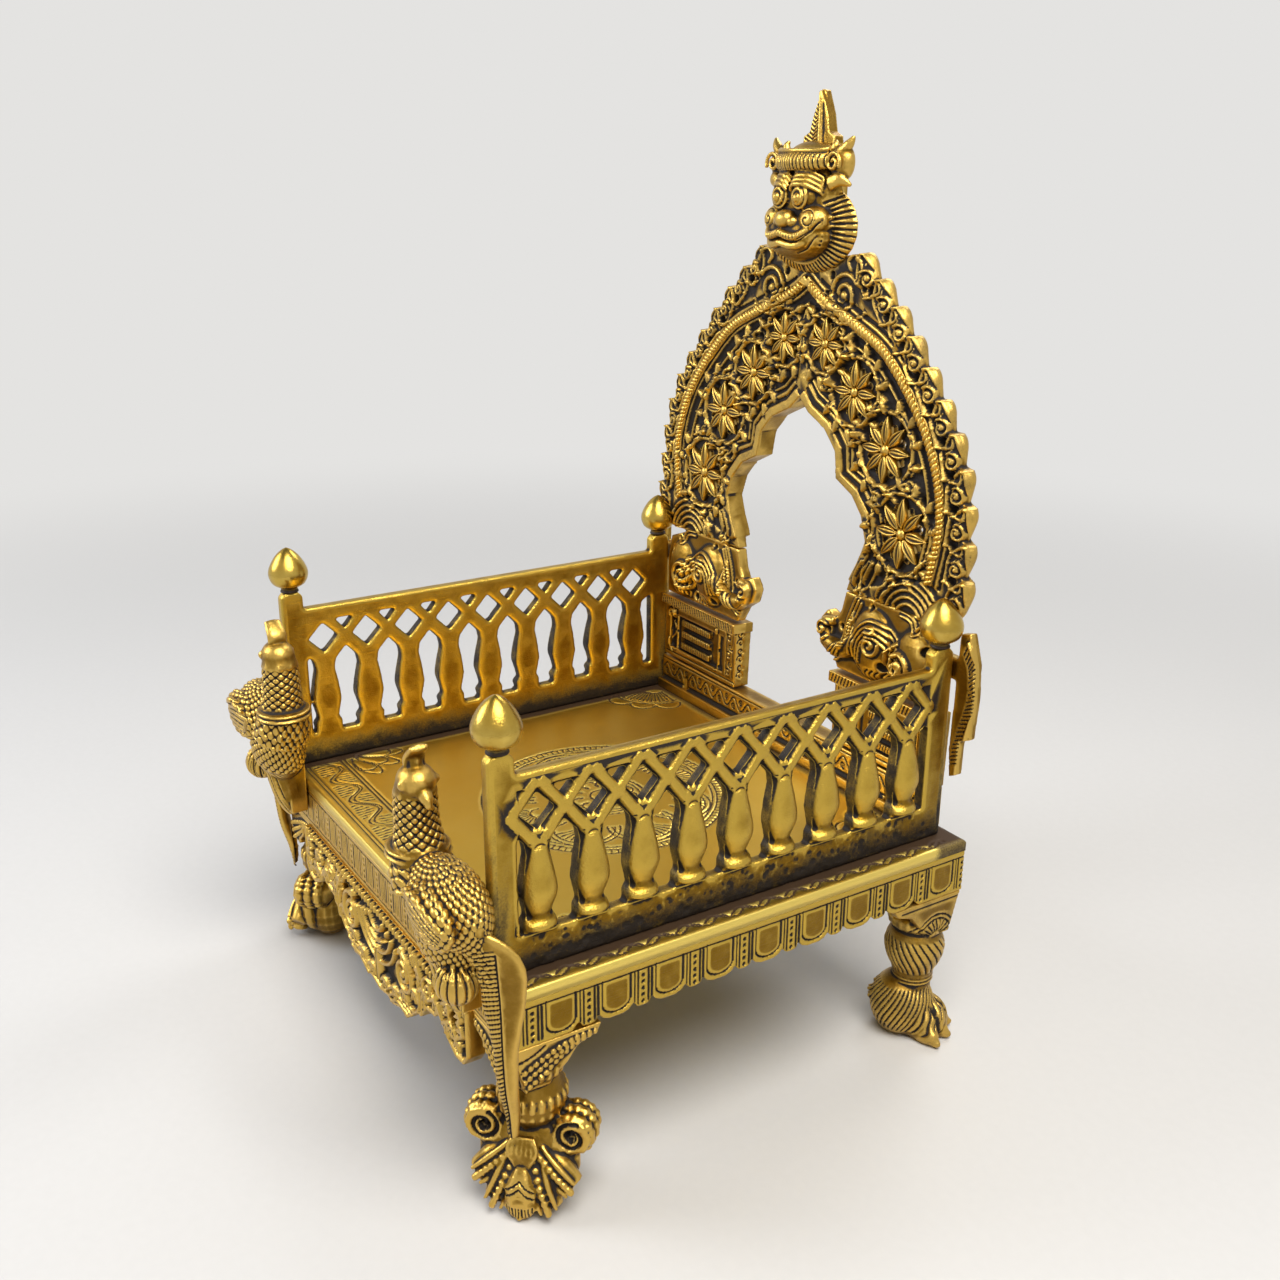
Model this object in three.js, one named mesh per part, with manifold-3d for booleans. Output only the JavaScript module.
// Simhasan: a cast brass throne for a small household deity.
// A railed seat stands on four paw feet, and a pierced arch with a guardian mask rises behind it.
// Millimetres, +Z up, the front faces -Y, and the origin is on the ground under the middle of the seat.

import * as THREE from 'three';
import { mergeVertices, mergeGeometries } from 'three/addons/utils/BufferGeometryUtils.js';
import Module from 'manifold-3d';

const wasm = await Module();
wasm.setup();

// Seat
const seatWidth = 167;
const seatDepth = 153;
const seatHeight = 66.5;
const plateThickness = 3.4;
const lotusRadius = 38.5;
const lotusLineWidth = 0.9;
const lotusLineDepth = 0.5;

// Clearance between two castings that are fitted to each other, and overrun for every cut
const castingGap = 0.3;
const cutOverrun = 1;

// Aprons under the seat plate
const apronThickness = 3.6;
const apronHeight = 13.3;
const stripWidth = 5.6;
const tongueWidth = 10.6;
const scallopDepth = 2.6;
const scallopMargin = 4.5;

// Carved hanging panel under the front apron
const lambrequinThickness = 4.2;
const lambrequinDrop = 28;
const lambrequinProud = 0.8;
const eyeletRadius = 2.3;

// Legs, measured from the ground up
const legInsetX = 8;
const legInsetY = 10;
const legStemWidth = 7.6;
const sideSpandrelReach = 27;
const frontSpandrelReach = 21.2;
const spandrelDrop = 13;
const spandrelThickness = 3.6;
const kneeRadius = 9;
const kneeDrop = 18.8;
const pawLength = 22;
const pawWidth = 18;
const pawHeight = 17;
const pawSetback = 2.5;
const toeRadius = 3.6;
const toeCount = 4;
const shellWidth = 34;
const shellHeight = 27;
const shellCurlRadius = 5.2;
const shellThickness = 9;
const clawLength = 15;
const clawWidth = 6.4;
const clawCount = 5;

// Side railings with their posts, with heights taken from the seat
const railThickness = 4;
const railInset = 7.2;
const railTopHeight = 54;
const railBaseWidth = 10.2;
const balusterPitch = 15;
const balusterStart = 13.1;
const balusterHeight = 29.1;
const bellyWidth = 9.8;
const vaseRelief = 2.6;
const diamondWidth = 9.9;
const diamondHeight = 10.2;
const diamondCentre = 43.2;
const gableWidth = 6.4;
const gableHeight = 3.8;
const frontPostWidth = 7.4;
const rearPostWidth = 7.9;
const rearPostInset = 4.3;
const postHeight = 60;
const postShoulder = 1.6;

// Bud finials on the posts
const finialDiameter = 12.5;
const finialHeight = 14.8;

// Sill across the back of the seat
const sillHeight = 12.7;
const sillDepth = 9.1;
const filletHeight = 3.5;
const filletDepth = 2.2;

// Arch, leaning back, with its heights taken from the seat
const archThickness = 4;
const archRimThickness = 6.2;
const archLean = THREE.MathUtils.degToRad(1.78);
const archSetback = 6.6;
const archInset = 5.5;
const archHeight = 168;
const archFoot = 64.5;
const archFootOverhang = 2;
const crownDrop = 6.6;
const flameCount = 11;
const flameDepth = 3.4;
const archBand = 42;
const openingDrop = 47;
const openingFootSetback = 1.5;
const ropeWidth = 3.2;
const ropeRelief = 1.3;
const rimWidth = 3;
const rimRelief = 0.9;
const medallionRadius = 9.4;
const petalCount = 8;

// Pillars under the arch
const pillarWidth = 45;
const pillarTop = 37.4;
const pillarThickness = 6.6;
const panelDepth = 1.6;
const panelFrame = 3.6;
const corniceHeight = 3.6;
const corniceProud = 2.2;
const ribCount = 3;

// Makaras on the pillars, each with a plume that hangs outside the post
const makaraRelief = 4;
const makaraEyeRadius = 2.4;
const trunkWidth = 4.6;
const plumeLength = 45;
const plumeWidth = 8;
const plumeThickness = 3.2;
const plumeSetback = 1.5;

// Guardian mask and spire at the crown of the arch
const maskFootDrop = 8.8;
const maskHeight = 36.8;
const maskWidth = 45;
const maskProjection = 12.4;
const crestWidth = 21;
const crownHeight = 4.6;
const eyeRadius = 4.2;
const eyeSpacing = 9.2;
const earRadius = 4.8;
const spireHeight = 15.6;
const spireWidth = 15;
const spireThickness = 3.6;

// Peacocks at the front corners, with tails that fall over the knees of the legs
const birdLength = 34;
const birdHeight = 21;
const birdWidth = 16.4;
const birdInset = 13.5;
const birdRise = 22;
const birdNeckInset = 31.5;
const birdNeckDiameter = 12;
const birdNeckLength = 25;
const crestLength = 8;
const birdCollar = 14.6;
const wingThickness = 3;
const perchWidth = 9;
const perchThickness = 6;
const tailWidth = 13;
const tailThickness = 3.2;
const tailEnd = 25;

// Studs and nuts that hold the castings to the seat plate
const studDiameter = 2.4;
const legStudDiameter = 4;
const studClearance = 0.4;
const studEngagement = 8;
const studTail = 1;
const nutAcrossFlats = 5;
const nutThickness = 2.6;
const railStudInset = 24.5;
const sillStudInset = 16;
const birdPinInset = 18.5;
const birdPinDrop = 6.5;
const birdPinDepth = 4.5;

// Facets
const lotusFacets = 33;
const roundFacets = 10;
const smallFacets = 8;
const studFacets = 6;
const curveSteps = 5;

// Outlines as shares of the sizes that they follow

// Lower edge of one strip and one tongue: share of the pitch, share of the scallop's depth
const tongueEdgeShares = [
  [0, 0.1], [0.06, 0.75], [0.17, 0.9], [0.29, 0.75], [0.35, 0.1],
  [0.42, 0.7], [0.55, 1], [0.8, 1], [0.93, 0.7], [1, 0.1],
];

// Lower edge of the hanging panel: share of its half width, share of its drop
const lambrequinEdgeShares = [
  [0, 1], [0.1, 0.95], [0.16, 0.98], [0.26, 0.9], [0.33, 0.93], [0.4, 0.82], [0.46, 0.7],
  [0.52, 0.66], [0.58, 0.5], [0.67, 0.47], [0.72, 0.38], [0.79, 0.54], [0.88, 0.64], [0.96, 0.62],
  [1, 0.5], [1, 0],
];

// Pierced eyes of the panel: share of its half width, share of its drop, share of the eye
const eyeletShares = [
  [0.09, 0.25, 1], [0.27, 0.22, 0.8], [0.2, 0.6, 1], [0.45, 0.25, 1], [0.66, 0.18, 0.8], [0.86, 0.24, 0.9],
];

// Bracket of a leg: share of its reach along the apron, share of its drop
const spandrelShares = [
  [0.02, 0], [0.98, 0], [0.93, 0.2], [0.72, 0.34], [0.6, 0.66], [0.45, 0.84], [0.42, 1],
  [0.14, 1], [0.08, 0.5],
];

// Turned core of a leg: share of the knee's radius and height
const legCoreShares = [
  [0, 0.25], [0.62, 0.25], [0.64, 0.69], [0.93, 0.85], [1, 1], [0.78, 1.2], [0.9, 1.25],
  [0.9, 1.32], [0.6, 1.38], [0, 1.38],
];

// Outline of a vase baluster: share of the belly's width, share of the baluster's height
const balusterShares = [
  [0.92, 0], [0.94, 0.11], [0.72, 0.17], [1, 0.38], [0.84, 0.6], [0.66, 0.75], [0.78, 0.86],
];

// Raised half of a vase: share of its radius, share of the baluster's height
const vaseShares = [
  [0, 0.04], [0.84, 0.08], [0.45, 0.17], [0.92, 0.37], [0.76, 0.6], [0.42, 0.8], [0, 0.86],
];

// Bud finial: share of its radius, share of its height
const finialShares = [
  [0, 0], [0.42, 0], [0.38, 0.09], [0.78, 0.2], [1, 0.42], [0.82, 0.66], [0.34, 0.88], [0, 1],
];

// Flame tips, and below them the rope: share of the half width, share of the height over the arch's foot
const flameLineShares = [
  [0.309, 0.9805], [0.529, 0.8377], [0.732, 0.6721], [0.892, 0.513], [0.969, 0.3637], [1, 0.1397],
];
const ropeShares = [
  [0, 0.8929], [0.1, 0.8458], [0.31, 0.7825], [0.515, 0.703], [0.755, 0.5066], [0.855, 0.3053],
  [0.825, 0.1072],
];

// Cusped opening: share of its half width, share of its height over the arch's foot
const openingShares = [
  [0, 1], [0.13, 0.9229], [0.375, 0.8522], [0.525, 0.7494], [0.567, 0.6017], [0.786, 0.5353],
  [0.93, 0.4325], [1, 0.3083], [0.93, 0.1883], [0.83, 0.0684],
];

// Pierced medallions: share of the half width, share of the height over the foot, share of the radius
const medallionShares = [
  [0.13, 0.7143, 0.86], [0.323, 0.591, 0.98], [0.523, 0.4465, 1.06], [0.649, 0.2209, 1.12],
];

// Gap between two petals: share of the medallion's radius, share of the angle between petals
const petalGapShares = [[0.4, 0], [0.74, 0.28], [0.88, 0], [0.74, -0.28]];

// Makara from its snout to its rump: share of its length, share of the height over the pillar
const makaraShares = [
  [0, 0.02], [-0.07, 0.24], [-0.18, 0.36], [-0.215, 0.55], [-0.15, 0.69], [-0.05, 0.62], [0, 0.76],
  [0.035, 1], [0.7, 1], [0.96, 0.84], [1, 0.5], [0.98, 0.02],
];

// Trunk curl of the makara, and sizes along it
const trunkShares = [[0.26, 0.5], [0.08, 0.3], [-0.08, 0.34], [-0.13, 0.54], [-0.03, 0.6]];
const trunkSizeShares = [1.5, 1.25, 1, 0.85, 0.5];

// Hanging plume: share of its width, share of its length down from its top
const plumeShares = [
  [0.04, 0.02], [0.5, 0], [0.87, 0.19], [1, 0.41], [0.93, 0.7], [0.5, 0.73], [0.5, 0.97], [0.18, 1],
  [0.04, 0.8],
];

// Leaf of the spire: share of its half width, share of its height
const spireShares = [[1, 0], [0.95, 0.16], [0.6, 0.24], [0.45, 0.52], [0, 1]];

// Peacock's tail: share of its fall, share of its width, distance from the corner in thicknesses
const tailShares = [
  [0, 0.7, 1.9], [0.1, 1, 1.6], [0.3, 0.86, 1.1], [0.52, 0.5, 0.95], [0.72, 0.42, 0.6],
  [0.87, 0.32, -0.15], [1, 0.2, -0.45],
];

// Places that follow from the sizes above
const halfWidth = seatWidth / 2;
const halfDepth = seatDepth / 2;
const plateUnderside = seatHeight - plateThickness;
const apronFoot = plateUnderside - apronHeight;
const railX = halfWidth - railInset - railThickness / 2;
const sillHalfWidth = railX - railThickness / 2 - castingGap;
const legX = halfWidth - legInsetX;
const legY = halfDepth - legInsetY;
const kneeHeight = apronFoot - kneeDrop;
const lambrequinWidth = seatWidth - 2 * frontSpandrelReach - 2 * castingGap;
const pillarInner = sillHalfWidth - pillarWidth;
const makaraLength = pillarWidth;
const archHalfWidth = halfWidth - archInset;
const archFootHalfWidth = sillHalfWidth + archFootOverhang;
const archCrown = archHeight - crownDrop;
const openingHalfWidth = archHalfWidth - archBand;
const openingHeight = archHeight - openingDrop;
const openingFootHalfWidth = pillarInner + openingFootSetback;
const maskFoot = archHeight - maskFootDrop;
const railStudReach = halfDepth - railStudInset;
const birdX = halfWidth - birdInset;
const birdNeckX = halfWidth - birdNeckInset;
const birdPinX = halfWidth - birdPinInset;
const birdPinHeight = seatHeight - birdPinDrop;
const birdSeat = seatHeight + birdRise;

const brassColor = new THREE.Color('#b08f35');

function brass(shade) {
  const color = brassColor.clone().multiplyScalar(shade);
  return new THREE.MeshStandardMaterial({ color, roughness: 0.34, metalness: 1 });
}

// Joining and cutting

function mergedSolid(geometry) {
  const bare = geometry.clone();
  bare.deleteAttribute('normal');
  bare.deleteAttribute('uv');
  const merged = mergeVertices(bare);
  const faces = [];
  for (let i = 0; i < merged.index.count; i += 3) {
    const [a, b, c] = [0, 1, 2].map((corner) => merged.index.getX(i + corner));
    if (a !== b && b !== c && c !== a) faces.push(a, b, c);
  }
  merged.setIndex(faces);
  return merged;
}

function toManifold(geometry) {
  const merged = mergedSolid(geometry);
  const vertProperties = new Float32Array(merged.attributes.position.array);
  const triVerts = new Uint32Array(merged.index.array);
  return new wasm.Manifold(new wasm.Mesh({ numProp: 3, vertProperties, triVerts }));
}

function fromManifold(solid) {
  const { vertProperties, triVerts } = solid.getMesh();
  const geometry = new THREE.BufferGeometry();
  geometry.setAttribute('position', new THREE.BufferAttribute(vertProperties, 3));
  geometry.setIndex(new THREE.BufferAttribute(triVerts, 1));
  return geometry;
}

function fuse(...geometries) {
  return fromManifold(geometries.map(toManifold).reduce((whole, piece) => whole.add(piece)));
}

function carve(body, ...cutters) {
  const cut = cutters.map(toManifold).reduce((rest, cutter) => rest.subtract(cutter), toManifold(body));
  return fromManifold(cut);
}

function mirrored(geometry, axis = 'x') {
  const copy = mergedSolid(geometry);
  copy.scale(axis === 'x' ? -1 : 1, axis === 'y' ? -1 : 1, 1);
  const faces = copy.index.array;
  for (let i = 0; i < faces.length; i += 3) {
    [faces[i], faces[i + 1]] = [faces[i + 1], faces[i]];
  }
  return copy;
}

// Basic forms

function frontPlate(shape, depth) {
  const settings = { depth, bevelEnabled: false, curveSegments: curveSteps };
  const geometry = new THREE.ExtrudeGeometry(shape, settings);
  return geometry.rotateX(Math.PI / 2).translate(0, depth, 0);
}

function sidePlate(shape, depth) {
  const settings = { depth, bevelEnabled: false, curveSegments: curveSteps };
  const geometry = new THREE.ExtrudeGeometry(shape, settings);
  const axes = [new THREE.Vector3(0, 1, 0), new THREE.Vector3(0, 0, 1), new THREE.Vector3(1, 0, 0)];
  return geometry.applyMatrix4(new THREE.Matrix4().makeBasis(...axes));
}

function turned(profile, facets) {
  const points = profile.map(([radius, height]) => new THREE.Vector2(radius, height));
  return new THREE.LatheGeometry(points, facets).rotateX(Math.PI / 2);
}

function ball([rx, ry, rz], [x, y, z], around = roundFacets, upward = curveSteps + 1) {
  const geometry = new THREE.SphereGeometry(1, around, upward).rotateX(Math.PI / 2);
  return geometry.scale(rx, ry, rz).translate(x, y, z);
}

function block([x0, y0, z0], [x1, y1, z1]) {
  const geometry = new THREE.BoxGeometry(x1 - x0, y1 - y0, z1 - z0);
  return geometry.translate((x0 + x1) / 2, (y0 + y1) / 2, (z0 + z1) / 2);
}

function pin(diameter, length, facets = studFacets) {
  const geometry = new THREE.CylinderGeometry(diameter / 2, diameter / 2, length, facets);
  return geometry.rotateX(Math.PI / 2).translate(0, 0, length / 2);
}

function outline(points) {
  return new THREE.Shape(points.map(([x, y]) => new THREE.Vector2(x, y)));
}

// A plate with outlines cut right through it
function pierced(makePlate, points, holes, depth) {
  const cutters = holes.map((hole) => mergedSolid(makePlate(outline(hole), depth + 2 * cutOverrun)));
  const overrun = makePlate === sidePlate ? [-cutOverrun, 0, 0] : [0, -cutOverrun, 0];
  return carve(makePlate(outline(points), depth), mergeGeometries(cutters).translate(...overrun));
}

// Points on a smooth curve through a few control points
function smooth(points, count) {
  const curve = new THREE.SplineCurve(points.map(([x, y]) => new THREE.Vector2(x, y)));
  return curve.getSpacedPoints(count).map((point) => [point.x, point.y]);
}

// A line of points moved sideways, to the left of its direction for a positive distance
function offset(points, distance) {
  return points.map(([x, y], i) => {
    const [x0, y0] = points[Math.max(i - 1, 0)];
    const [x1, y1] = points[Math.min(i + 1, points.length - 1)];
    const length = Math.hypot(x1 - x0, y1 - y0);
    return [x - ((y1 - y0) / length) * distance, y + ((x1 - x0) / length) * distance];
  });
}

function ribbon(points, width) {
  return outline([...offset(points, -width / 2), ...offset(points, width / 2).reverse()]);
}

// A closed tube along a path, with its own width and thickness at each point.
// Side is the direction in which the width is measured.
function taper(path, sizes, side, facets = roundFacets) {
  const points = path.map((point) => new THREE.Vector3(...point));
  const across = new THREE.Vector3(...side).normalize();
  const positions = [];
  const faces = [];
  points.forEach((point, i) => {
    const ahead = points[Math.min(i + 1, points.length - 1)];
    const behind = points[Math.max(i - 1, 0)];
    const along = ahead.clone().sub(behind).normalize();
    const wide = across.clone().addScaledVector(along, -across.dot(along)).normalize();
    const thick = along.clone().cross(wide);
    const [width, thickness] = sizes[i];
    for (let k = 0; k < facets; k += 1) {
      const angle = ((k + 0.5) / facets) * 2 * Math.PI;
      const place = point.clone().addScaledVector(wide, (Math.cos(angle) * width) / 2);
      place.addScaledVector(thick, (Math.sin(angle) * thickness) / 2);
      positions.push(...place);
    }
  });
  const last = points.length - 1;
  for (let i = 0; i < last; i += 1) {
    for (let k = 0; k < facets; k += 1) {
      const [a, b] = [i * facets + k, i * facets + ((k + 1) % facets)];
      faces.push(a, b, b + facets, a, b + facets, a + facets);
    }
  }
  positions.push(...points[0], ...points[last]);
  const [start, end] = [positions.length / 3 - 2, positions.length / 3 - 1];
  for (let k = 0; k < facets; k += 1) {
    const next = (k + 1) % facets;
    faces.push(start, next, k, end, last * facets + k, last * facets + next);
  }
  const geometry = new THREE.BufferGeometry();
  geometry.setAttribute('position', new THREE.Float32BufferAttribute(positions, 3));
  geometry.setIndex(faces);
  return geometry;
}

const throne = new THREE.Group();
const archGroup = new THREE.Group();
archGroup.position.set(0, halfDepth - archSetback, seatHeight);
archGroup.rotation.x = -archLean;
throne.add(archGroup);

function add(name, geometry, { shade = 1, x = 0, y = 0, z = 0, parent = throne } = {}) {
  const finished = mergedSolid(geometry).toNonIndexed();
  finished.computeVertexNormals();
  const mesh = new THREE.Mesh(finished, brass(shade));
  mesh.name = name;
  mesh.position.set(x, y, z);
  parent.add(mesh);
  return mesh;
}

// Seat plate with its engraved circle, drilled for the studs of the railings, the sill and the legs

const sides = [-1, 1];
const railStuds = sides.flatMap((side) =>
  sides.concat(0).map((step) => [side * railX, step * railStudReach]));
const sillStudY = halfDepth - apronThickness - castingGap - nutAcrossFlats / 2;
const sillStuds = sides.map((side) => [side * (sillHalfWidth - sillStudInset), sillStudY]);
const legStuds = sides.flatMap((sx) => sides.map((sy) => [sx * legX, sy * legY]));
const legStudTop = seatHeight - plateThickness / 3;
const studFoot = plateUnderside - nutThickness - studTail;

const throughBores = [...railStuds, ...sillStuds].map(([x, y]) =>
  pin(studDiameter + studClearance, plateThickness + 2 * cutOverrun)
    .translate(x, y, plateUnderside - cutOverrun));
const legBores = legStuds.map(([x, y]) =>
  pin(legStudDiameter + studClearance, legStudTop - plateUnderside + studClearance / 2 + cutOverrun)
    .translate(x, y, plateUnderside - cutOverrun));
const plate = block([-halfWidth, -halfDepth, plateUnderside], [halfWidth, halfDepth, seatHeight]);
const lotusCut = lotusLineDepth + cutOverrun;
const lotusDisc = pin(2 * lotusRadius, lotusCut, lotusFacets);
const lotusCore = pin(2 * lotusRadius - 2 * lotusLineWidth, lotusCut + 2 * cutOverrun, lotusFacets)
  .translate(0, 0, -cutOverrun);
const lotusLine = carve(lotusDisc, lotusCore).translate(0, 0, seatHeight - lotusLineDepth);
add('seat_plate', carve(plate, ...throughBores, ...legBores, lotusLine));

// Aprons with a hanging border of wide tongues between narrow dotted strips

function apronOutline(length) {
  const pitch = stripWidth + tongueWidth;
  const tongueCount = Math.floor(length / pitch);
  const starts = Array.from({ length: tongueCount }, (_, i) => (i - tongueCount / 2) * pitch);
  const hanging = starts.filter((start) => Math.abs(start + pitch / 2) < length / 2 - sideSpandrelReach);
  const edge = hanging.flatMap((start) => tongueEdgeShares.map(([along, drop]) =>
    [start + along * pitch, apronFoot + scallopDepth * (1 - drop)]));
  const [first, last] = [edge[0][0] - scallopMargin / 2, edge[edge.length - 1][0] + scallopMargin / 2];
  return outline([
    [-length / 2, plateUnderside], [-length / 2, apronFoot], [first, apronFoot], ...edge,
    [last, apronFoot], [length / 2, apronFoot], [length / 2, plateUnderside],
  ]);
}

const sideApron = sidePlate(apronOutline(seatDepth), apronThickness);
add('right_apron', sideApron, { x: halfWidth - apronThickness });
add('left_apron', sideApron, { x: -halfWidth });

const innerWidth = seatWidth - 2 * apronThickness - 2 * castingGap;
const rearApron = frontPlate(apronOutline(innerWidth), apronThickness);
add('rear_apron', rearApron, { y: halfDepth - apronThickness });

const birdPins = sides.map((side) => side * birdPinX);
const frontApron = block([-innerWidth / 2, 0, apronFoot], [innerWidth / 2, apronThickness, plateUnderside]);
const birdBores = birdPins.map((x) =>
  pin(studDiameter + studClearance, apronThickness + 2 * cutOverrun)
    .rotateX(-Math.PI / 2).translate(x, -cutOverrun, birdPinHeight));
add('front_apron', carve(frontApron, ...birdBores), { y: -halfDepth });

// Carved panel of scrolling foliage under the front apron

function ring([x, z], radius, count = studFacets) {
  return Array.from({ length: count }, (_, i) => {
    const angle = ((i + 0.5) / count) * 2 * Math.PI;
    return [x + radius * Math.cos(angle), z + radius * Math.sin(angle)];
  });
}

const panelEdge = lambrequinEdgeShares.map(([along, drop]) =>
  [(along * lambrequinWidth) / 2, apronFoot - drop * lambrequinDrop]);
const panelOutline = [...panelEdge, ...panelEdge.slice(1).reverse().map(([x, z]) => [-x, z])];
const eyelets = eyeletShares.flatMap(([along, drop, size]) => sides.map((side) =>
  ring([(side * along * lambrequinWidth) / 2, apronFoot - drop * lambrequinDrop], size * eyeletRadius)));
const lambrequin = pierced(frontPlate, panelOutline, eyelets, lambrequinThickness);
add('front_lambrequin', lambrequin, { y: -halfDepth - lambrequinProud, shade: 0.92 });

// Legs: two brackets in the corner of the aprons, a turned knee, and a foot that points to the corner

function bracket(reach) {
  return outline(spandrelShares.map(([along, drop]) => [along * reach, apronFoot - drop * spandrelDrop]));
}

function placeFoot(...pieces) {
  const foot = fuse(...pieces);
  const ground = block([-seatWidth, -seatWidth, -seatWidth], [seatWidth, seatWidth, 0]);
  return carve(foot, ground).rotateZ(-Math.PI / 4).translate(legX, -legY, 0);
}

function pawFoot() {
  const heel = ball([pawLength * 0.42, pawWidth / 2, pawHeight * 0.6],
    [-pawSetback, 0, pawHeight * 0.56], smallFacets);
  const instep = ball([pawLength * 0.36, pawWidth * 0.46, pawHeight * 0.4],
    [pawLength * 0.28 - pawSetback, 0, pawHeight * 0.3], smallFacets);
  const toes = Array.from({ length: toeCount }, (_, i) => {
    const angle = (i - (toeCount - 1) / 2) * 0.46;
    const reach = pawLength * 0.42;
    const size = [toeRadius * 1.7, toeRadius * 0.85, toeRadius];
    return ball(size, [reach, 0, toeRadius * 0.8], studFacets, curveSteps - 1)
      .rotateZ(angle).translate(-pawSetback, 0, 0);
  });
  return placeFoot(heel, instep, ...toes);
}

function shellFoot() {
  const heelSize = [shellThickness, shellWidth / 3, shellHeight / 2];
  const heel = ball(heelSize, [0, 0, shellHeight * 0.48], smallFacets);
  const curls = sides.map((side) => pin(2 * shellCurlRadius, shellThickness, smallFacets)
    .rotateY(Math.PI / 2)
    .translate(-shellThickness / 3, side * (shellWidth / 2 - shellCurlRadius), shellHeight - shellCurlRadius));
  const claws = Array.from({ length: clawCount }, (_, i) => {
    const angle = (i - (clawCount - 1) / 2) * 0.56;
    const [across, down] = [Math.sin(angle), Math.cos(angle)];
    const root = [shellThickness * 0.5, across * clawWidth * 0.6, shellHeight * 0.66 - down * clawWidth * 0.3];
    const knuckle = [shellThickness * 0.5 + down * clawWidth * 0.7, across * clawLength * 0.62,
      clawLength * 1.1 - down * clawLength * 0.55];
    const tip = [shellThickness * 0.5 + down * clawWidth * 0.9, across * clawLength * 0.95,
      clawLength - down * clawLength * 0.93];
    const sizes = [[0.8, 0.7], [1.15, 1], [0.7, 0.6]].map(([w, t]) => [w * clawWidth, t * clawWidth]);
    return taper([root, knuckle, tip], sizes, [0, down, across], studFacets);
  });
  return placeFoot(heel, ...curls, ...claws);
}

function leg(foot) {
  const side = sidePlate(bracket(sideSpandrelReach), spandrelThickness)
    .translate(halfWidth - spandrelThickness, -halfDepth, 0);
  const front = mirrored(frontPlate(bracket(frontSpandrelReach), spandrelThickness))
    .translate(halfWidth, -halfDepth, 0);
  const core = turned(legCoreShares.map(([r, h]) => [r * kneeRadius, h * kneeHeight]), smallFacets)
    .translate(legX, -legY, 0);
  const stem = block(
    [legX - legStemWidth / 2, -legY - legStemWidth / 2, kneeHeight],
    [legX + legStemWidth / 2, -legY + legStemWidth / 2, plateUnderside],
  );
  const bore = pin(legStudDiameter + studClearance, studEngagement + cutOverrun)
    .translate(legX, -legY, plateUnderside - studEngagement);
  return carve(fuse(side, front, core, stem, foot), bore);
}

const frontLeg = leg(shellFoot());
const rearLeg = mirrored(leg(pawFoot()), 'y');
add('front_right_leg', frontLeg);
add('front_left_leg', mirrored(frontLeg));
add('rear_right_leg', rearLeg);
add('rear_left_leg', mirrored(rearLeg));

// Railings: a pierced plate of vase balusters under a lattice of diamonds, cast in one with its posts

const railFront = -halfDepth;
const railBack = halfDepth - rearPostInset;
const frontPostInner = railFront + frontPostWidth;
const rearPostInner = railBack - rearPostWidth;
const balusterSpan = rearPostInner - railFront - balusterStart - bellyWidth / 2;
const balusterCount = Math.floor(balusterSpan / balusterPitch) + 1;
const balusterPlaces = Array.from({ length: balusterCount }, (_, i) =>
  railFront + balusterStart + i * balusterPitch);

function balusterSide(centre, side) {
  return balusterShares.map(([width, height]) =>
    [centre + (side * width * bellyWidth) / 2, railBaseWidth + height * balusterHeight]);
}

function railHoles() {
  const tip = railBaseWidth + balusterHeight;
  const first = balusterPlaces[0];
  const last = balusterPlaces[balusterCount - 1];
  const between = balusterPlaces.slice(0, -1).map((centre) => [
    ...balusterSide(centre, 1), [centre + balusterPitch / 2, tip],
    ...balusterSide(centre + balusterPitch, -1).reverse(),
  ]);
  const ends = [
    [
      [frontPostInner, railBaseWidth],
      [frontPostInner, tip - gableHeight / 2],
      ...balusterSide(first, -1).reverse(),
    ],
    [[rearPostInner, railBaseWidth], ...balusterSide(last, 1), [rearPostInner, tip - gableHeight / 2]],
  ];
  const diamonds = balusterPlaces.map((centre) => [
    [centre - diamondWidth / 2, diamondCentre], [centre, diamondCentre - diamondHeight / 2],
    [centre + diamondWidth / 2, diamondCentre], [centre, diamondCentre + diamondHeight / 2],
  ]);
  const gableTop = diamondCentre + diamondHeight / 2 + postShoulder / 2;
  const gables = balusterPlaces.slice(0, -1).map((centre) => centre + balusterPitch / 2).map((middle) => [
    [middle, gableTop - gableHeight],
    [middle + gableWidth / 2, gableTop],
    [middle - gableWidth / 2, gableTop],
  ]);
  return [...between, ...ends, ...diamonds, ...gables];
}

function railOutline() {
  return [
    [railFront, 0], [railBack, 0],
    [railBack, postHeight - postShoulder], [railBack - postShoulder, postHeight],
    [rearPostInner + postShoulder, postHeight], [rearPostInner, postHeight - postShoulder],
    [rearPostInner, railTopHeight], [frontPostInner, railTopHeight],
    [frontPostInner, postHeight - postShoulder], [frontPostInner - postShoulder, postHeight],
    [railFront + postShoulder, postHeight], [railFront, postHeight - postShoulder],
  ];
}

function railing() {
  const grille = pierced(sidePlate, railOutline(), railHoles(), railThickness);
  const radius = bellyWidth / 2;
  const vases = balusterPlaces.map((y) =>
    turned(vaseShares.map(([r, h]) => [r * radius, railBaseWidth + h * balusterHeight]), smallFacets)
      .rotateZ(Math.PI / smallFacets)
      .scale(vaseRelief / radius, 1, 1).translate(railThickness, y, 0));
  const bores = sides.concat(0).map((step) =>
    pin(studDiameter + studClearance, studEngagement + cutOverrun)
      .translate(railThickness / 2, step * railStudReach, -cutOverrun));
  return carve(fuse(grille, ...vases), ...bores).translate(railX - railThickness / 2, 0, seatHeight);
}

const rightRailing = railing();
add('right_railing', rightRailing);
add('left_railing', mirrored(rightRailing));

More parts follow.
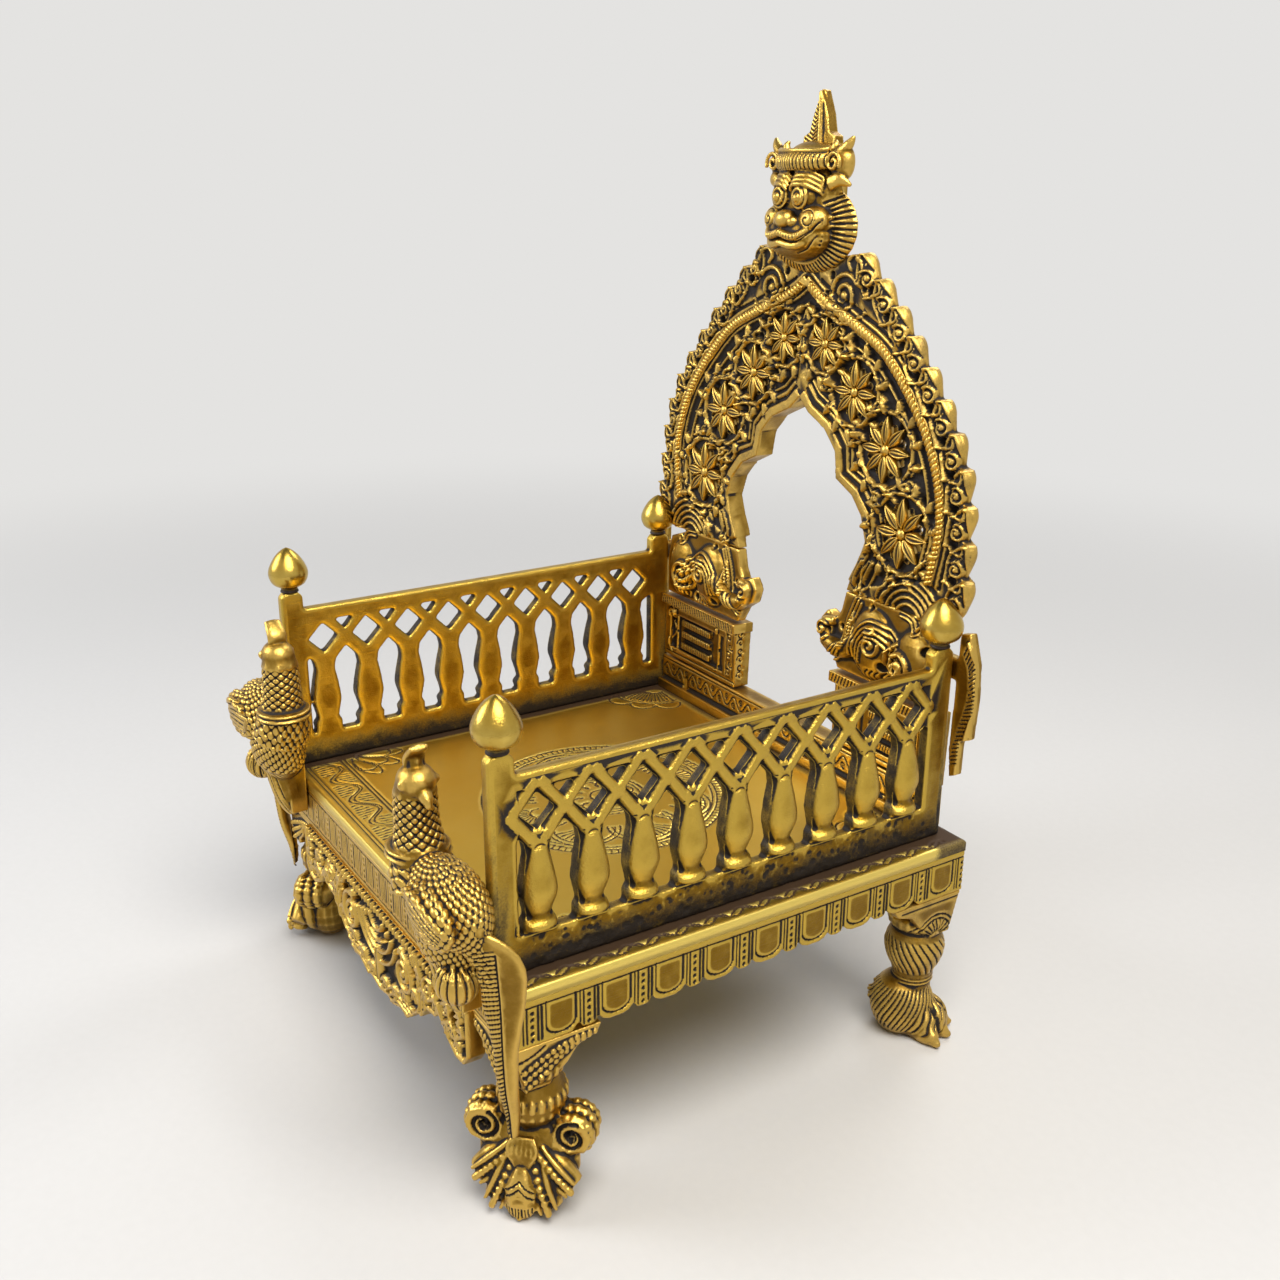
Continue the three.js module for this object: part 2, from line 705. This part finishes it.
const finialProfile = finialShares.map(([r, h]) => [(r * finialDiameter) / 2, h * finialHeight]);
const finial = turned(finialProfile, roundFacets);
const finialZ = seatHeight + postHeight;
const frontFinialY = railFront + frontPostWidth / 2;
const rearFinialY = railBack - rearPostWidth / 2;
add('front_right_finial', finial, { x: railX, y: frontFinialY, z: finialZ });
add('front_left_finial', finial, { x: -railX, y: frontFinialY, z: finialZ });
add('rear_right_finial', finial, { x: railX, y: rearFinialY, z: finialZ });
add('rear_left_finial', finial, { x: -railX, y: rearFinialY, z: finialZ });

// Sill between the rear posts

const sillFront = halfDepth - sillDepth;
const sillShape = outline([
  [sillFront, 0], [halfDepth, 0], [halfDepth, sillHeight],
  [sillFront + filletDepth, sillHeight], [sillFront + filletDepth, filletHeight], [sillFront, filletHeight],
]);
const sillBores = sillStuds.map(([x, y]) =>
  pin(studDiameter + studClearance, studEngagement + cutOverrun).translate(x, y, -cutOverrun));
const sill = sidePlate(sillShape, 2 * sillHalfWidth).translate(-sillHalfWidth, 0, 0);
add('arch_sill', carve(sill, ...sillBores), { z: seatHeight });

// Pillars: a framed panel with raised ribs between a plinth and a cornice

const pillarFoot = sillHeight + 2 * castingGap;

function pillar() {
  const shaft = block([pillarInner, 0, pillarFoot], [sillHalfWidth, pillarThickness, pillarTop]);
  const panel = block(
    [pillarInner + panelFrame * 2, -cutOverrun, pillarFoot + panelFrame],
    [sillHalfWidth - panelFrame, panelDepth, pillarTop - corniceHeight - panelFrame],
  );
  const panelHeight = pillarTop - pillarFoot - corniceHeight - 2 * panelFrame;
  const ribs = Array.from({ length: ribCount }, (_, i) => {
    const middle = pillarFoot + panelFrame + ((i + 0.5) / ribCount) * panelHeight;
    return block(
      [pillarInner + pillarWidth * 0.36, 0, middle - panelHeight / ribCount / 4],
      [pillarInner + pillarWidth * 0.76, 2 * panelDepth, middle + panelHeight / ribCount / 4],
    );
  });
  const cornice = block([pillarInner - corniceProud / 2, -corniceProud, pillarTop - corniceHeight],
    [sillHalfWidth, pillarThickness, pillarTop]);
  return fuse(carve(shaft, panel), cornice, ...ribs);
}

const rightPillar = pillar();
add('right_pillar', rightPillar, { parent: archGroup });
add('left_pillar', mirrored(rightPillar), { parent: archGroup });

// Finial clearance, moved into the leaning frame of the arch

archGroup.updateMatrixWorld(true);
const finialClearance = sides.map((side) => {
  const middle = new THREE.Vector3(side * railX, rearFinialY, finialZ + finialHeight * 0.44);
  const place = archGroup.worldToLocal(middle);
  const radius = finialDiameter / 2 + 2 * castingGap;
  return ball([radius, radius, finialHeight * 0.62], [place.x, place.y, place.z]);
});

// Makaras: sea beasts with a curled trunk towards the opening and a plume outside the post

const makaraFoot = pillarTop + castingGap;
const makaraHeight = archFoot - castingGap - makaraFoot;

function makaraPoint([along, up]) {
  return [pillarInner + along * makaraLength, makaraFoot + up * makaraHeight];
}

function makara() {
  const body = frontPlate(outline(makaraShares.map(makaraPoint)), archThickness);
  const [headX, headZ] = makaraPoint([0.36, 0.5]);
  const [eyeX, eyeZ] = makaraPoint([0.4, 0.68]);
  const [haunchX, haunchZ] = makaraPoint([0.76, 0.44]);
  const head = ball([makaraLength * 0.2, makaraRelief, makaraHeight * 0.42], [headX, 0, headZ]);
  const haunch = ball([makaraLength * 0.17, makaraRelief * 0.8, makaraHeight * 0.4], [haunchX, 0, haunchZ]);
  const eyePlace = [eyeX, -makaraRelief * 0.8, eyeZ];
  const eye = ball(Array(3).fill(makaraEyeRadius), eyePlace, studFacets, curveSteps - 1);
  const trunkPath = trunkShares.map(makaraPoint).map(([x, z]) => [x, -trunkWidth * 0.2, z]);
  const trunkSizes = trunkSizeShares.map((size) => [size * trunkWidth, size * trunkWidth]);
  const trunk = taper(trunkPath, trunkSizes, [0, 1, 0], studFacets);
  const plumeX = railX + railThickness / 2 + castingGap;
  const plumePoints = plumeShares.map(([across, down]) =>
    [plumeX + across * plumeWidth, archFoot + castingGap - down * plumeLength]);
  const plume = frontPlate(outline(plumePoints), plumeThickness).translate(0, plumeSetback, 0);
  const bridge = block(
    [sillHalfWidth - plumeWidth / 2, plumeSetback, makaraFoot + makaraHeight * 0.45],
    [plumeX + plumeWidth / 2, plumeSetback + plumeThickness, makaraFoot + makaraHeight * 0.7],
  );
  return carve(fuse(body, head, haunch, eye, trunk, plume, bridge), ...finialClearance);
}

const rightMakara = makara();
add('right_makara', rightMakara, { parent: archGroup, shade: 0.95 });
add('left_makara', mirrored(rightMakara), { parent: archGroup, shade: 0.95 });

// Pierced arch: flames outside, a rope and a plain rim in relief, and flower medallions between them

function archPoint([across, up]) {
  return [across * archHalfWidth, archFoot + up * (archHeight - archFoot)];
}

function flameEdge() {
  const tips = smooth(flameLineShares.map(archPoint), flameCount - 1);
  const roots = offset(tips, -flameDepth);
  return tips.flatMap(([x, z], i) => {
    if (i === tips.length - 1) return [[x, z]];
    const [nextX, nextZ] = tips[i + 1];
    const [rootX, rootZ] = roots[i + 1];
    const [sunkX, sunkZ] = roots[i];
    const shoulder = [x + (nextX - x) * 0.4, z + (nextZ - z) * 0.4];
    const valley = [sunkX + (rootX - sunkX) * 0.78, sunkZ + (rootZ - sunkZ) * 0.78];
    return [[x, z], shoulder, valley];
  });
}

function archEdge() {
  const opening = openingShares.map(([across, up]) =>
    [across * openingHalfWidth, archFoot + up * (openingHeight - archFoot)]);
  return { flames: flameEdge(), opening };
}

function archFrame() {
  const { flames, opening } = archEdge();
  const right = [
    ...opening, [openingFootHalfWidth, archFoot], [archFootHalfWidth, archFoot],
    ...flames.slice().reverse(), [crestWidth * 0.7, archCrown + ropeWidth], [crestWidth / 2, archCrown],
    [crestWidth / 2, maskFoot + maskHeight - castingGap],
  ];
  const left = right.slice(1).reverse().map(([x, z]) => [-x, z]);
  const medallions = medallionShares.flatMap(([across, up, size]) => sides.map((side) => {
    const [x, z] = archPoint([side * across, up]);
    return { x, z, radius: size * medallionRadius };
  }));
  const gaps = medallions.flatMap(({ x, z, radius }) => Array.from({ length: petalCount }, (_, k) =>
    petalGapShares.map(([reach, turn]) => {
      const angle = ((k + 0.5 + turn) / petalCount) * 2 * Math.PI;
      return [x + reach * radius * Math.cos(angle), z + reach * radius * Math.sin(angle)];
    })));
  const plateBody = pierced(frontPlate, [...right, ...left], gaps, archThickness);
  const ropeLine = smooth(ropeShares.map(archPoint), 3 * curveSteps);
  const rimLine = offset(opening, rimWidth / 2);
  const reliefs = [
    frontPlate(ribbon(ropeLine, ropeWidth), ropeRelief + cutOverrun).translate(0, -ropeRelief, 0),
    frontPlate(ribbon(rimLine, rimWidth), rimRelief + archRimThickness).translate(0, -rimRelief, 0),
  ];
  const raised = reliefs.flatMap((relief) => [relief, mirrored(relief)]);
  return carve(fuse(plateBody, ...raised), ...finialClearance);
}

add('arch_frame', archFrame(), { parent: archGroup });

// Guardian mask: mane, head, grinning muzzle, round eyes, ears and a ribbed crown, flat at the back

function maskPoint(across, out, up) {
  return [(across * maskWidth) / 2, -castingGap - out * maskProjection, maskFoot + up * maskHeight];
}

function guardianMask() {
  const size = (across, out, up) => [(across * maskWidth) / 2, out * maskProjection, up * maskHeight];
  const mane = ball(size(1, 0.4, 0.38), maskPoint(0, 0, 0.36));
  const head = ball(size(0.64, 0.74, 0.42), maskPoint(0, 0, 0.56));
  const muzzle = ball(size(0.56, 0.62, 0.17), maskPoint(0, 0.38, 0.31));
  const nose = ball(size(0.17, 0.3, 0.1), maskPoint(0, 0.78, 0.42), smallFacets);
  const eyes = sides.map((side) => ball([eyeRadius, eyeRadius, eyeRadius],
    maskPoint((side * eyeSpacing) / maskWidth, 0.52, 0.62), smallFacets));
  const ears = sides.map((side) => ball([earRadius, earRadius * 0.7, earRadius * 1.1],
    maskPoint(side * 0.62, 0.14, 0.86), smallFacets));
  const crownFront = maskPoint(0, 0.56, 0.8);
  const crown = block(
    [-crestWidth / 2, crownFront[1], crownFront[2]],
    [crestWidth / 2, -castingGap, crownFront[2] + crownHeight],
  );
  const behind = block(
    [-maskWidth, -castingGap, maskFoot - maskHeight],
    [maskWidth, maskProjection * 2, maskFoot + 2 * maskHeight],
  );
  return carve(fuse(mane, head, muzzle, nose, ...eyes, ...ears, crown), behind);
}

add('guardian_mask', guardianMask(), { parent: archGroup });

function spire() {
  const right = spireShares.map(([across, up]) => [(across * spireWidth) / 2, up * spireHeight]);
  const left = right.slice(0, -1).reverse().map(([x, z]) => [-x, z]);
  const leaf = frontPlate(outline([...right, ...left]), spireThickness);
  const ridge = new THREE.ConeGeometry(spireThickness / 2, spireHeight * 0.96, studFacets)
    .rotateX(Math.PI / 2).translate(0, spireThickness / 3, spireHeight * 0.48);
  return fuse(leaf, ridge);
}

add('spire', spire(), { parent: archGroup, z: maskFoot + maskHeight });

// Peacocks: each looks outward over its shoulder, and its tail falls over the corner of the seat

function tail() {
  const start = birdSeat - birdHeight * 0.2;
  const across = [Math.SQRT1_2, Math.SQRT1_2, 0];
  const path = tailShares.map(([fall, , out]) => {
    const reach = out * tailThickness * Math.SQRT1_2;
    const back = fall === 0 ? birdWidth * 0.24 : 0;
    return [halfWidth + reach - back, -halfDepth - reach - back, start + fall * (tailEnd - start)];
  });
  const sizes = tailShares.map(([, width]) => [width * tailWidth, tailThickness]);
  return taper(path, sizes, across, studFacets);
}

function peacock() {
  const birdY = -halfDepth - birdWidth / 2;
  const body = ball([birdLength / 2, birdWidth / 2, birdHeight / 2], [birdX, birdY, birdSeat]);
  const neckFoot = birdSeat + birdHeight * 0.05;
  const neckPath = [[0.2, 0], [0.06, 0.22], [0, 0.5], [0, 0.85], [0.08, 1.05]].map(([out, up]) =>
    [birdNeckX + out * birdNeckDiameter, birdY, neckFoot + up * birdNeckLength]);
  const neckSizes = [1.5, 1.12, 0.96, 0.96, 0.7].map((size) => Array(2).fill(size * birdNeckDiameter));
  const neck = taper(neckPath, neckSizes, [0, 1, 0], smallFacets);
  const headZ = neckFoot + birdNeckLength;
  const crest = ball([crestLength / 4, crestLength / 4, crestLength / 2],
    [birdNeckX + birdNeckDiameter * 0.1, birdY, headZ + crestLength * 0.42], studFacets);
  const beak = taper(
    [
      [birdNeckX, birdY, headZ - crestLength * 0.2],
      [birdNeckX + crestLength, birdY, headZ - crestLength * 0.6],
    ],
    [[crestLength * 0.7, crestLength * 0.7], [crestLength * 0.2, crestLength * 0.2]], [0, 1, 0], studFacets,
  );
  const collar = turned([[0, -1], [0.9, -1], [1, 0], [0.9, 1], [0, 1]].map(([r, h]) =>
    [(r * birdCollar) / 2, h * crestLength * 0.16]), smallFacets)
    .translate(birdNeckX, birdY, neckFoot + birdNeckLength * 0.2);
  const wing = ball([birdLength * 0.36, wingThickness, birdHeight * 0.34],
    [birdX + birdLength * 0.1, birdY - birdWidth * 0.42, birdSeat], smallFacets);
  const perch = block(
    [birdPinX - perchWidth / 2, -halfDepth - perchThickness, birdPinHeight - perchWidth / 2],
    [birdPinX + perchWidth / 2, -halfDepth - castingGap, birdSeat],
  );
  const seat = block([0, -halfDepth - castingGap, 0], [seatWidth, seatDepth, 2 * birdSeat]);
  const bore = pin(studDiameter + studClearance, birdPinDepth + cutOverrun)
    .rotateX(Math.PI / 2).translate(birdPinX, -halfDepth + cutOverrun, birdPinHeight);
  const bird = carve(fuse(body, neck, crest, beak, collar, wing, perch), seat, bore);
  return fuse(bird, tail());
}

const rightPeacock = peacock();
add('right_peacock', rightPeacock);
add('left_peacock', mirrored(rightPeacock));

// Studs and nuts that hold the castings from under the seat plate

function addEach(name, geometry, places) {
  places.forEach(([x, y, z], i) => add(`${name}_${i + 1}`, geometry, { x, y, z }));
}

function nut() {
  const hexagon = pin((nutAcrossFlats * 2) / Math.sqrt(3), nutThickness, 6).rotateZ(Math.PI / 6);
  const bore = pin(studDiameter + studClearance, nutThickness + 2 * cutOverrun).translate(0, 0, -cutOverrun);
  return carve(hexagon, bore);
}

const stud = pin(studDiameter, seatHeight + studEngagement - castingGap - studFoot);
const nutFoot = plateUnderside - nutThickness;
addEach('rail_stud', stud, railStuds.map(([x, y]) => [x, y, studFoot]));
addEach('rail_nut', nut(), railStuds.map(([x, y]) => [x, y, nutFoot]));
addEach('sill_stud', stud, sillStuds.map(([x, y]) => [x, y, studFoot]));
addEach('sill_nut', nut(), sillStuds.map(([x, y]) => [x, y, nutFoot]));

const legStudFoot = plateUnderside - studEngagement + castingGap;
const legStud = pin(legStudDiameter, legStudTop - legStudFoot);
addEach('leg_stud', legStud, legStuds.map(([x, y]) => [x, y, legStudFoot]));

const birdPinFoot = -halfDepth + apronThickness + nutThickness + studTail;
const birdPin = pin(studDiameter, birdPinFoot + halfDepth + birdPinDepth - castingGap).rotateX(Math.PI / 2);
const birdNutFoot = -halfDepth + apronThickness + nutThickness;
addEach('peacock_pin', birdPin, birdPins.map((x) => [x, birdPinFoot, birdPinHeight]));
addEach('peacock_nut', nut().rotateX(Math.PI / 2), birdPins.map((x) => [x, birdNutFoot, birdPinHeight]));

// The part's origin lies on the floor under the middle of the overall box

const part = new THREE.Group();
part.add(throne);
const overall = new THREE.Box3().setFromObject(throne, true);
throne.position.y = -(overall.min.y + overall.max.y) / 2;

export default part;
